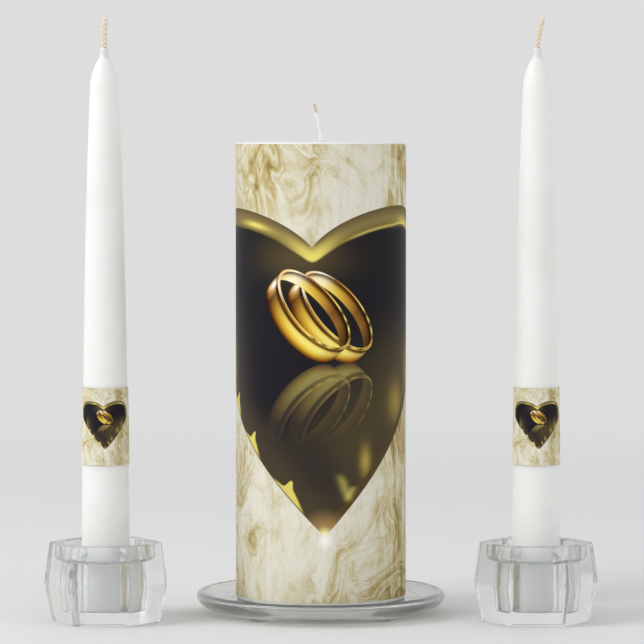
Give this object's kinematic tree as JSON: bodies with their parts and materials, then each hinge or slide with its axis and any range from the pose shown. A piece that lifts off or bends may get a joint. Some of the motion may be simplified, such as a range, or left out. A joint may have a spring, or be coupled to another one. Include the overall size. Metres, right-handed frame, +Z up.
{
  "type": "unity candle set",
  "caption": "Wedding candle set: a printed pillar on a footed glass plate, between tall tapers with printed bands in six-sided glass holders that stand free.",
  "frame": {"origin": "on the table top, under the pillar candle's axis, at the bottom centre of the whole set's box", "axes": "+Z up; +X to the right of someone who faces the printed front; the front faces -Y"},
  "size_m": [0.2441, 0.111, 0.2657],
  "materials": {
    "wax": "satin white candle wax, slightly translucent",
    "wick_cotton": "braided cotton, waxed",
    "clear_glass": "clear pressed glass, polished",
    "clear_vinyl": "clear soft bumper",
    "tin_plate": "stamped tinplate",
    "printed_film": "satin printed film: marbled cream and ochre ground with a bevelled gold heart and two plain rings"
  },
  "bodies": {
    "dish": {"plate": "clear_glass", "bumper_front_left": "clear_vinyl", "bumper_front_right": "clear_vinyl", "bumper_back_left": "clear_vinyl", "bumper_back_right": "clear_vinyl"},
    "pillar": {"pillar_wax": "wax", "pillar_wrap": "printed_film", "pillar_wick": "wick_cotton", "wick_tab": "tin_plate"},
    "left_stand": {"left_holder": "clear_glass"},
    "left_taper": {"left_taper_wax": "wax", "left_taper_band": "printed_film", "left_taper_wick": "wick_cotton"},
    "right_stand": {"right_holder": "clear_glass"},
    "right_taper": {"right_taper_wax": "wax", "right_taper_band": "printed_film", "right_taper_wick": "wick_cotton"}
  },
  "joints": [
    {"name": "pillar_lift", "type": "slide", "parent": "dish", "child": "pillar", "axis": [0, 0, 1], "range_m": [0, 0.1]},
    {"name": "left_stand_slide", "type": "slide", "parent": "dish", "child": "left_stand", "axis": [-1, 0, 0], "range_m": [-0.008, 0.1]},
    {"name": "left_taper_lift", "type": "slide", "parent": "left_stand", "child": "left_taper", "axis": [0, 0, 1], "range_m": [0, 0.08]},
    {"name": "right_stand_slide", "type": "slide", "parent": "dish", "child": "right_stand", "axis": [1, 0, 0], "range_m": [-0.008, 0.1]},
    {"name": "right_taper_lift", "type": "slide", "parent": "right_stand", "child": "right_taper", "axis": [0, 0, 1], "range_m": [0, 0.08]}
  ]
}
